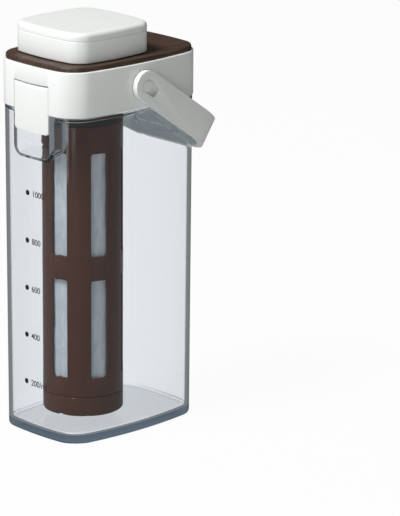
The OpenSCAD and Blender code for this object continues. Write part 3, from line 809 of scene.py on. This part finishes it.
class COLDBREW_OT_jug(bpy.types.Operator):
    """Model the clear jug with its stepped neck and two finger scoops"""
    bl_idname = "coldbrew.jug"
    bl_label = "Jug"

    def execute(self, context):
        sizes = settings("jug")
        neck = sizes.neck_step + sizes.wall
        under = sizes.shoulder - sizes.wall
        body = rounded([
            (sizes.foot * 2, 0.0, 0.0),
            (0.0, 0.0, sizes.foot),
            (0.0, sizes.shoulder, sizes.lip),
            (sizes.neck_step, sizes.shoulder, 0.0),
            (sizes.neck_step, JUG_HIGH.z, sizes.lip),
            (neck, JUG_HIGH.z, 0.0)])
        hollow = rounded([
            (sizes.wall + 2 * sizes.fillet, sizes.floor, 0.0),
            (sizes.wall, sizes.floor, sizes.fillet),
            (sizes.wall, under, sizes.lip),
            (neck, under, 0.0),
            (neck, JUG_HIGH.z + OVER, 0.0)])
        jug = stacked("clear_jug", body, lambda inset, z: jug_outline(z, inset))
        inside = stacked("hollow", hollow, lambda inset, z: jug_outline(z, inset))
        walls = scoop_cutter("scoop_wall", sizes.wall)
        cut(inside, mirrored(walls, "rear_scoop_wall", "Y"), walls)
        scoop = scoop_cutter("scoop", 0.0)
        cut(jug, mirrored(scoop, "rear_scoop", "Y"), scoop)
        cut(jug, inside)
        dress(jug, clear_plastic(), "clear_plastic", "root", "jug")
        return {"FINISHED"}


def on_front_face(piece, ink):
    """Lays a flat print on the jug's bowed front face."""
    for vert in piece.data.vertices:
        lift = ink if vert.co.y < -ink / 2 else 0.0
        vert.co.y = -jug_face(vert.co.x, vert.co.z) - lift


class COLDBREW_OT_marks(bpy.types.Operator):
    """Print the volume marks on the jug's front face"""
    bl_idname = "coldbrew.marks"
    bl_label = "Volume marks"

    def execute(self, context):
        sizes = settings("marks")
        prints = []
        for number in range(sizes.marks):
            height = sizes.first + number * sizes.pitch
            dot_x = sizes.dot_x + number * sizes.lean
            words = str((number + 1) * sizes.step) + ("/ml" if number == 0 else "")
            bpy.ops.object.select_all(action="DESELECT")
            bpy.ops.object.text_add(location=(dot_x + sizes.text_x, 0.0,
                                              height - LETTER_MIDDLE * sizes.text),
                                    rotation=(math.pi / 2, 0.0, 0.0))
            label = bpy.context.object
            label.data.body = words
            label.data.size = sizes.text
            label.data.resolution_u = 4
            label.data.extrude = sizes.ink
            label.data.offset = sizes.stroke
            label.data.space_character = LETTER_SPACE
            bpy.ops.object.convert(target="MESH")
            keep_place()
            prints.append(bpy.context.object)
            prints.append(rod("dot", sizes.dot / 2, -sizes.ink, sizes.ink, axis="Y",
                              centre=(dot_x, 0.0, height), corners=32))
        select_only(*prints)
        bpy.ops.object.join()
        marks = named("volume_marks")
        edit(marks)
        weld(0.001 * MM)
        leave_edit()
        on_front_face(marks, sizes.ink)
        dress(marks, black_ink(), "clear_plastic", "root")
        return {"FINISHED"}


# ---- Lid ----

def lid_outline(inset=0.0):
    """The collar's plan, drawn in by an inset."""
    bow = (settings("jug").side_bow, settings("jug").end_bow)
    return outline(COLLAR_HIGH.x - COLLAR_LOW.x, COLLAR_HIGH.y - COLLAR_LOW.y,
                   settings("lid").corner, bow, inset)


def lid_face(x, inset=0.0):
    """How far the collar's front face stands from the centre at x."""
    sizes = settings("jug")
    half_x = COLLAR_HIGH.x - sizes.side_bow - inset
    half_y = COLLAR_HIGH.y - sizes.end_bow - inset
    return half_y + sizes.end_bow * (1 - (x / half_x) ** 2)


def hinge_of(joint):
    """Where a joint's axis lies."""
    return Vector(next(j for j in frame["joints"] if j["name"] == joint)["pos_m"])


class COLDBREW_OT_collar(bpy.types.Operator):
    """Model the white collar with its deck and the two latch openings"""
    bl_idname = "coldbrew.collar"
    bl_label = "Collar"

    def execute(self, context):
        sizes = settings("lid")
        low, high = COLLAR_LOW.z, COLLAR_HIGH.z
        deck = high - sizes.deck
        profile = rounded([
            (sizes.wall, deck, 0.0),
            (sizes.wall, low, sizes.rim),
            (0.0, low, sizes.rim),
            (0.0, high, sizes.edge),
            (3 * sizes.edge, high, 0.0)])
        collar = stacked("collar_shell", profile, lambda inset, z: lid_outline(inset))
        hinge = hinge_of("front_latch_open")
        half = LATCH_HIGH.x + sizes.latch_gap
        sweep = math.hypot(sizes.barrel, sizes.barrel) + sizes.latch_gap
        window = block("latch_window", (-half, COLLAR_LOW.y - OVER, low - OVER),
                       (half, COLLAR_LOW.y + sizes.barrel + OVER, hinge.z))
        barrel = rod("barrel_room", sweep, -half, half, axis="X", centre=(0, hinge.y, hinge.z))
        cut(collar, mirrored(window, "rear_window", "Y"), window,
            mirrored(barrel, "rear_barrel", "Y"), barrel)
        pins = hinge_of("handle_swing")
        cut(collar, rod("mouth_hole", sizes.turret, deck - OVER, high + OVER,
                        centre=(0.0, sizes.mouth_y, 0.0), corners=TURN_STEPS),
            rod("pin_hole", settings("handle").pin, COLLAR_LOW.x - OVER, COLLAR_HIGH.x + OVER,
                axis="X", centre=pins))
        soften(collar, 0.15 * MM, steps=2, over=60)
        dress(collar, white_plastic(), "white_plastic", "root", "collar")
        return {"FINISHED"}


class COLDBREW_OT_wood(bpy.types.Operator):
    """Model the walnut plate on the collar"""
    bl_idname = "coldbrew.wood"
    bl_label = "Wood top"

    def execute(self, context):
        sizes = settings("lid")
        low, high = WOOD_LOW.z, WOOD_HIGH.z
        inset = sizes.wood_inset
        profile = rounded([
            (inset, low, 0.0),
            (inset, high, sizes.wood_edge),
            (inset + 2 * sizes.wood_edge, high, 0.0)])
        plate = stacked("walnut_plate", profile, lambda gap, z: lid_outline(gap))
        cut(plate, rod("mouth_hole", sizes.turret, low - OVER, high + OVER,
                       centre=(0.0, sizes.mouth_y, 0.0), corners=TURN_STEPS))
        soften(plate, 0.2 * MM, steps=2, over=60)
        dress(plate, walnut_wood(), "walnut", "root", "wood_top")
        return {"FINISHED"}


def latch_section(x):
    """The latch's section across Y and Z at x: a flap under a hinge barrel."""
    sizes = settings("lid")
    hinge = hinge_of("front_latch_open")
    half = LATCH_HIGH.x
    side = max(0.0, abs(x) - (half - sizes.latch_corner))
    rise = sizes.latch_corner - math.sqrt(max(0.0, sizes.latch_corner ** 2 - side ** 2))
    foot = LATCH_LOW.z + rise
    front, back = -lid_face(x), -lid_face(x, sizes.wall)
    line = [Vector((front, foot)), Vector((front, hinge.z))]
    for step in range(1, 17):
        a = math.pi - step / 16 * math.radians(245)
        y = hinge.y + sizes.barrel * math.cos(a)
        line.append(Vector((max(y, front), hinge.z + sizes.barrel * math.sin(a))))
    meet = max(line[-1].x, back)
    line[-1] = Vector((meet, line[-1].y))
    line.append(Vector((back, line[-1].y - 0.8 * MM)))
    line.append(Vector((back, foot)))
    return [Vector((x, y, z)) for y, z in line]


class COLDBREW_OT_latches(bpy.types.Operator):
    """Model the front and rear latch flaps with barrel and hook"""
    bl_idname = "coldbrew.latches"
    bl_label = "Latches"

    def execute(self, context):
        sizes = settings("lid")
        half = LATCH_HIGH.x
        corner = sizes.latch_corner
        ends = [half - corner * (1 - math.sin(math.radians(a))) for a in (90, 70, 50, 30, 12, 0)]
        middle = [ends[-1] * share for share in (0.8, 0.6, 0.4, 0.2)]
        right = ends + middle
        stations = [-x for x in right] + [0.0] + right[::-1]
        front = lofted("front_flap", [latch_section(x) for x in stations])
        jug = settings("jug")
        hinge = hinge_of("front_latch_open")
        ledge = jug.shoulder + jug.ledge_gap - sizes.latch_gap
        reach = JUG_LOW.y + jug.neck_step + sizes.hook_grip
        hook = block("hook", (-sizes.hook_w / 2, hinge.y - sizes.barrel / 2, ledge - sizes.hook_h),
                     (sizes.hook_w / 2, reach, ledge))
        bevel_edges(hook, lambda at, way: at.y > reach - NEAR and abs(way.x) > 0.9
                    and at.z < ledge - sizes.hook_h / 2, 0.9 * MM)
        fused(front, hook)
        soften(front, sizes.latch_edge, steps=3, over=45)
        rear = mirrored(front, "rear_flap", "Y")
        for piece, node in ((front, "front_latch"), (rear, "rear_latch")):
            dress(piece, white_plastic(), "white_plastic", node, node)
        return {"FINISHED"}


# ---- Handle ----

class COLDBREW_OT_handle(bpy.types.Operator):
    """Model the bail handle: a bent strap with two recessed round ends"""
    bl_idname = "coldbrew.handle"
    bl_label = "Handle"

    def execute(self, context):
        sizes = settings("handle")
        outer = HANDLE_HIGH.x
        inner = outer - sizes.strap_t
        bend = outer - sizes.bend
        straight = sizes.reach - sizes.bend
        half = sizes.strap_w / 2
        steps = 16
        across = [(inner, -half), (outer, -half), (outer, half), (inner, half)]
        rims = [[Vector((x, -half, z)) for x, z in across],
                [Vector((x, straight, z)) for x, z in across]]
        for step in range(1, steps + 1):
            a = step / steps * math.pi / 2
            rims.append([Vector((bend + (x - bend) * math.cos(a),
                                 straight + (x - bend) * math.sin(a), z)) for x, z in across])
        left = [[Vector((-p.x, p.y, p.z)) for p in rim] for rim in reversed(rims)]
        strap = lofted("bail_handle", rims + left)
        bevel_edges(strap, lambda at, way: at.y < -half + NEAR and abs(way.x) > 0.9,
                    half - NEAR, 14)
        cut(strap, rod("pin_bore", sizes.pin + sizes.running, -outer - OVER, outer + OVER,
                       axis="X", corners=64))
        recess = self.recess(sizes, outer)
        cut(strap, mirrored(recess, "left_recess", "X"), recess)
        soften(strap, sizes.edge, steps=3, over=45)
        pivot = hinge_of("handle_swing")
        inner_reach = sizes.reach - sizes.strap_t
        rest = math.acos((JUG_HIGH.y + sizes.rest_gap - pivot.y)
                         / math.hypot(inner_reach, half)) - math.atan(half / inner_reach)
        place(strap, (-rest, 0.0, 0.0), pivot)
        dress(strap, white_plastic(), "white_plastic", "handle", "handle")
        right = self.pin(sizes, pivot)
        left_pin = mirrored(right, "left_pin", "X")
        for piece, node in ((right, "right_pivot_pin"), (left_pin, "left_pivot_pin")):
            dress(piece, white_plastic(), "white_plastic", "root", node)
        return {"FINISHED"}

    def recess(self, sizes, outer):
        """The long recess in the right arm, from the pin along the arm."""
        floor, high = outer - sizes.recess_deep, outer + OVER
        ends = [rod("recess", sizes.recess, floor, high, axis="X", centre=(0.0, y, 0.0),
                    corners=64) for y in (0.0, sizes.recess_run)]
        middle = block("recess_middle", (floor, 0.0, -sizes.recess),
                       (high, sizes.recess_run, sizes.recess))
        return fused(middle, *ends)

    def pin(self, sizes, pivot):
        """The right pin, with its flange inside the collar's wall."""
        low, high = PIN_LOW.x, PIN_HIGH.x
        profile = rounded([
            (0.0, low, 0.0),
            (sizes.pin_flange, low, 0.0),
            (sizes.pin_flange, low + sizes.flange_t, 0.0),
            (sizes.pin, low + sizes.flange_t, 0.0),
            (sizes.pin, high, sizes.pin_edge),
            (0.0, high, 0.0)])
        pin = turned("right_pin", profile)
        return place(pin, (0.0, math.pi / 2, 0.0), (0.0, pivot.y, pivot.z))


# ---- Knob ----

class COLDBREW_OT_knob(bpy.types.Operator):
    """Model the square knob's body and its cover"""
    bl_idname = "coldbrew.knob"
    bl_label = "Knob"

    def plan(self, inset, height):
        sizes = settings("knob")
        centre = ((BODY_LOW.x + BODY_HIGH.x) / 2, (BODY_LOW.y + BODY_HIGH.y) / 2)
        return outline(BODY_HIGH.x - BODY_LOW.x, BODY_HIGH.y - BODY_LOW.y, sizes.corner,
                       (sizes.bow, sizes.bow), inset, centre)

    def execute(self, context):
        sizes = settings("knob")
        seam, wall, parting = BODY_HIGH.z, sizes.wall, sizes.parting
        body = stacked("knob_lower", rounded([
            (wall, BODY_LOW.z + sizes.floor, 0.0),
            (wall, seam, 0.0),
            (parting, seam, 0.0),
            (0.0, seam - parting, 0.15 * MM),
            (0.0, BODY_LOW.z, sizes.lower_edge),
            (3 * sizes.lower_edge, BODY_LOW.z, 0.0)]), self.plan)
        dress(body, white_plastic(), "white_plastic", "knob", "knob_body")
        cover = stacked("knob_upper", rounded([
            (2 * wall, COVER_HIGH.z - wall, 0.0),
            (2 * wall, COVER_LOW.z, 0.0),
            (wall, COVER_LOW.z, 0.0),
            (wall, seam, 0.0),
            (parting, seam, 0.0),
            (0.0, seam + parting, 0.15 * MM),
            (0.0, COVER_HIGH.z, sizes.edge),
            (2 * sizes.edge, COVER_HIGH.z, 0.0)], steps=6), self.plan)
        dress(cover, white_plastic(), "white_plastic", "knob", "knob_cover")
        return {"FINISHED"}


# ---- Filter ----

def filter_centre():
    return (0.0, settings("lid").mouth_y)


class COLDBREW_OT_filter(bpy.types.Operator):
    """Model the brown filter tube with its windows, ring, cap and mesh sleeve"""
    bl_idname = "coldbrew.filter"
    bl_label = "Filter"

    def window_cutters(self, sizes, radius):
        """A rounded box through the wall for each window of both rows."""
        low = FRAME_FOOT + sizes.band_low
        upper = low + sizes.low_h + sizes.band_mid
        rows = ((low, low + sizes.low_h), (upper, RING_LOW.z - sizes.band_top))
        half = sizes.window_w / 2
        cutters = []
        for bottom, top in rows:
            for number in range(sizes.windows):
                window = block("window", (-half, -radius - OVER, bottom),
                               (half, -radius / 2, top))
                bevel_edges(window, lambda at, way: abs(way.y) > 0.9, sizes.window_corner, 5)
                turn = sizes.window_turn + number * 2 * math.pi / sizes.windows
                centre = filter_centre()
                cutters.append(place(window, (0.0, 0.0, turn), (centre[0], centre[1], 0.0)))
        return cutters

    def execute(self, context):
        sizes = settings("filter")
        radius = (FRAME_HIGH.x - FRAME_LOW.x) / 2
        bore = radius - sizes.wall
        spigot = bore - sizes.wall
        centre = filter_centre()
        running = settings("handle").running
        edge = sizes.edge
        tube = turned("windowed_tube", rounded([
            (bore, RING_LOW.z, 0.0),
            (radius, RING_LOW.z, edge),
            (radius, FRAME_FOOT, edge),
            (bore - running, FRAME_FOOT, 0.0),
            (bore - running, FRAME_LOW.z, edge),
            (spigot, FRAME_LOW.z, 0.0),
            (spigot, FRAME_FOOT + sizes.flange, 0.0),
            (bore, FRAME_FOOT + sizes.flange, 0.0)], closed=True), centre)
        cut(tube, *self.window_cutters(sizes, radius))
        soften(tube, sizes.window_edge, steps=2, over=50)
        dress(tube, brown_plastic(), "brown_plastic", "filter", "filter_frame")
        cap = turned("filter_foot", rounded([
            (0.0, CAP_LOW.z, 0.0),
            (radius, CAP_LOW.z, sizes.cap_edge),
            (radius, CAP_HIGH.z, edge),
            (bore, CAP_HIGH.z, 0.0),
            (bore, CAP_LOW.z + sizes.cap_floor, edge),
            (0.0, CAP_LOW.z + sizes.cap_floor, 0.0)]), centre)
        dress(cap, brown_plastic(), "brown_plastic", "filter_cap", "filter_cap")
        ring = turned("grey_ring", rounded([
            (bore, RING_LOW.z, 0.0),
            (radius, RING_LOW.z, 0.6 * MM),
            (radius, RING_HIGH.z, 0.6 * MM),
            (bore, RING_HIGH.z, 0.0)], closed=True), centre)
        dress(ring, grey_rubber(), "grey_rubber", "filter", "filter_seal_ring")
        neck = turned("upper_tube", rounded([
            (spigot, NECK_LOW.z, 0.0),
            (bore, NECK_LOW.z, 0.0),
            (bore, RING_HIGH.z, 0.0),
            (radius, RING_HIGH.z, edge),
            (radius, NECK_HIGH.z, edge),
            (spigot, NECK_HIGH.z, 0.0)], closed=True), centre)
        lug_top = NECK_HIGH.z - sizes.tube_over
        lugs = rod("lugs", sizes.lug_r, lug_top - sizes.lug_h, lug_top,
                   centre=(centre[0], centre[1], 0.0))
        for side in (-1, 1):
            low, high = sorted((side * sizes.lug_w / 2, side * 2 * sizes.lug_r))
            cut(lugs, block("beside", (low, centre[1] - 2 * sizes.lug_r, lug_top - 2 * sizes.lug_h),
                            (high, centre[1] + 2 * sizes.lug_r, lug_top + OVER)))
        cut(lugs, rod("inside", radius - 0.5 * MM, lug_top - 2 * sizes.lug_h, lug_top + OVER,
                      centre=(centre[0], centre[1], 0.0), corners=TURN_STEPS))
        fused(neck, lugs)
        dress(neck, brown_plastic(), "brown_plastic", "filter", "filter_neck")
        self.sleeve(sizes, bore, centre)
        return {"FINISHED"}

    def sleeve(self, sizes, bore, centre):
        """The mesh sleeve, with shallow slanting ripples."""
        low, high = FRAME_FOOT + sizes.flange, NECK_LOW.z
        rows = 60
        outer = [(bore, low + (high - low) * row / rows) for row in range(rows + 1)]
        inner = [(bore - sizes.mesh_t, z) for _, z in reversed(outer)]
        piece = turned("mesh_sleeve", [Vector(p) for p in outer + inner], centre)
        for vert in piece.data.vertices:
            x, y = vert.co.x - centre[0], vert.co.y - centre[1]
            around = math.atan2(y, x)
            wave = (math.sin(9 * around + 260 * vert.co.z + 1.3 * math.sin(120 * vert.co.z))
                    + 0.6 * math.sin(17 * around - 190 * vert.co.z + 2 * math.sin(3 * around)))
            fade = min(1.0, (vert.co.z - low) / (4 * MM), (high - vert.co.z) / (4 * MM))
            push = 1 - sizes.ripple * fade * (1.6 - wave) / (2 * bore)
            vert.co.x, vert.co.y = centre[0] + x * push, centre[1] + y * push
        dress(piece, filter_cloth(), "mesh", "filter", "filter_mesh", smooth=60)


# ---- Inner pieces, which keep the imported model's own shape ----

class COLDBREW_OT_inner(bpy.types.Operator):
    """Finish the inner lid, the stopper, the seals, the screws and the pins"""
    bl_idname = "coldbrew.inner"
    bl_label = "Inner pieces"

    def execute(self, context):
        finishes = {
            "inner_lid": white_plastic(),
            "knob_plug": white_plastic(),
            "lid_gasket": milky_silicone(),
            "knob_gasket": milky_silicone(),
            "lid_screws": plain_steel(),
            "knob_screws": plain_steel(),
            "front_latch_pin": plain_steel(),
            "rear_latch_pin": plain_steel(),
        }
        for node, material in finishes.items():
            piece = frame["nodes"][node]
            if not piece.material_slots:
                piece.data.materials.append(material)
            for material_slot in piece.material_slots:
                material_slot.material = material
        return {"FINISHED"}


# ---- Stage ----

def background(tree, seen, shine):
    """A background's plain white share and its strength: seen, also through glass, at full
    strength, in reflections at the strength shine, and inside clear walls at inner_shine."""
    path = add(tree, "ShaderNodeLightPath")
    straight = calc(tree, "MAXIMUM", path.outputs["Is Camera Ray"],
                    path.outputs["Is Transmission Ray"])
    reflected = reflected_ray(tree, path)
    share = calc(tree, "MULTIPLY_ADD", reflected, REFLECTED_SHARE,
                 calc(tree, "MULTIPLY", straight, seen))
    inside = calc(tree, "GREATER_THAN", path.outputs["Transmission Depth"], 0.5)
    strength = add(tree, "ShaderNodeMix")
    tree.links.new(inside, strength.inputs["Factor"])
    for name, most in (("A", shine), ("B", settings("stage").inner_shine)):
        tree.links.new(ramp(tree, reflected, 1.0, most), strength.inputs[name])
    return share, strength.outputs["Result"]


class COLDBREW_OT_stage(bpy.types.Operator):
    """Set the pale floor, the softboxes and the camera"""
    bl_idname = "coldbrew.stage"
    bl_label = "Stage"

    def execute(self, context):
        values = settings("stage")
        self.floor(values)
        self.sky(values)
        self.softbox("key_softbox", values.key, values.key_turn, values.key_height, KEY_SIZE)
        self.softbox("strip_softbox", values.strip, values.strip_turn, 0.0, STRIP_SIZE)
        card = self.softbox("card_softbox", values.card, values.strip_turn, 0.0, STRIP_SIZE)
        card.visible_diffuse = False
        self.camera(values)
        bpy.context.scene.view_settings.view_transform = "Standard"
        return {"FINISHED"}

    def floor(self, values):
        bpy.ops.object.select_all(action="DESELECT")
        bpy.ops.mesh.primitive_plane_add(size=60.0, location=(0.0, 0.0, -FLOOR_GAP))
        floor = named("floor")
        material, shader, tree = shader_of("white_sweep")
        shader.inputs["Base Color"].default_value = FLOOR_TONE
        shader.inputs["Roughness"].default_value = 0.9
        white = add(tree, "ShaderNodeEmission", Color=WHITE, Strength=1.0)
        share, strength = background(tree, values.floor_white, values.floor_shine)
        tree.links.new(strength, white.inputs["Strength"])
        surface(tree, "Material Output", share, shader.outputs["BSDF"], white.outputs["Emission"])
        floor.data.materials.append(material)

    def sky(self, values):
        world = bpy.data.worlds.new("studio")
        bpy.context.scene.world = world
        world.use_nodes = True
        tree = world.node_tree
        light = tree.nodes["Background"]
        light.inputs["Color"].default_value = SKY_TONE
        light.inputs["Strength"].default_value = values.sky
        white = add(tree, "ShaderNodeBackground", Color=WHITE, Strength=1.0)
        share, strength = background(tree, 1.0, values.sky_shine)
        tree.links.new(strength, white.inputs["Strength"])
        surface(tree, "World Output", share, light.outputs["Background"],
                white.outputs["Background"])

    def softbox(self, name, watts, turn, height, size):
        """A softbox that faces the object, by its turn from the front and its elevation."""
        at = TARGET + LAMP_REACH * Vector((math.sin(turn) * math.cos(height),
                                           -math.cos(turn) * math.cos(height), math.sin(height)))
        bpy.ops.object.select_all(action="DESELECT")
        bpy.ops.object.light_add(type="AREA", location=at)
        lamp = named(name)
        lamp.data.shape = "RECTANGLE"
        lamp.data.size, lamp.data.size_y = size
        lamp.data.energy = watts
        lamp.rotation_euler = (TARGET - at).to_track_quat("-Z", "Y").to_euler()
        return lamp

    def camera(self, values):
        bpy.ops.object.select_all(action="DESELECT")
        bpy.ops.object.camera_add(location=(values.camera_x, values.camera_y, values.camera_z))
        camera = named("photo_camera")
        back = Vector((math.sin(values.yaw) * math.cos(values.pitch),
                       -math.cos(values.yaw) * math.cos(values.pitch), math.sin(values.pitch)))
        level = Vector((math.cos(values.yaw), math.sin(values.yaw), 0.0))
        upright = back.cross(level)
        right = level * math.cos(values.roll) + upright * math.sin(values.roll)
        up = back.cross(right)
        camera.rotation_euler = Matrix((right, up, back)).transposed().to_euler()
        camera.data.sensor_width = 36.0
        camera.data.lens = values.focal
        camera.data.clip_end = 200.0
        bpy.context.scene.camera = camera


OPERATORS = (COLDBREW_OT_stage, COLDBREW_OT_jug, COLDBREW_OT_marks, COLDBREW_OT_collar,
             COLDBREW_OT_wood, COLDBREW_OT_latches, COLDBREW_OT_handle, COLDBREW_OT_knob,
             COLDBREW_OT_filter, COLDBREW_OT_inner)


class COLDBREW_PT_pieces(bpy.types.Panel):
    """The pieces of the coffee maker, each with its operator"""
    bl_label = "Cold Brew Coffee Maker"
    bl_idname = "COLDBREW_PT_pieces"
    bl_space_type = "VIEW_3D"
    bl_region_type = "UI"
    bl_category = "Cold Brew"

    def draw(self, context):
        for operator in OPERATORS:
            self.layout.operator(operator.bl_idname)
        for name, group in SETTINGS.items():
            box = self.layout.box()
            box.label(text=name.title())
            for key in group.__annotations__:
                box.prop(settings(name), key)


def register():
    for name, group in SETTINGS.items():
        bpy.utils.register_class(group)
        setattr(bpy.types.Scene, "coldbrew_" + name, bpy.props.PointerProperty(type=group))
    for operator in OPERATORS:
        bpy.utils.register_class(operator)
    bpy.utils.register_class(COLDBREW_PT_pieces)


def unregister():
    bpy.utils.unregister_class(COLDBREW_PT_pieces)
    for operator in reversed(OPERATORS):
        bpy.utils.unregister_class(operator)
    for name, group in reversed(SETTINGS.items()):
        delattr(bpy.types.Scene, "coldbrew_" + name)
        bpy.utils.unregister_class(group)


def main():
    register()
    for operator in OPERATORS:
        group, name = operator.bl_idname.split(".")
        getattr(getattr(bpy.ops, group), name)()


if __name__ == "__main__":
    main()
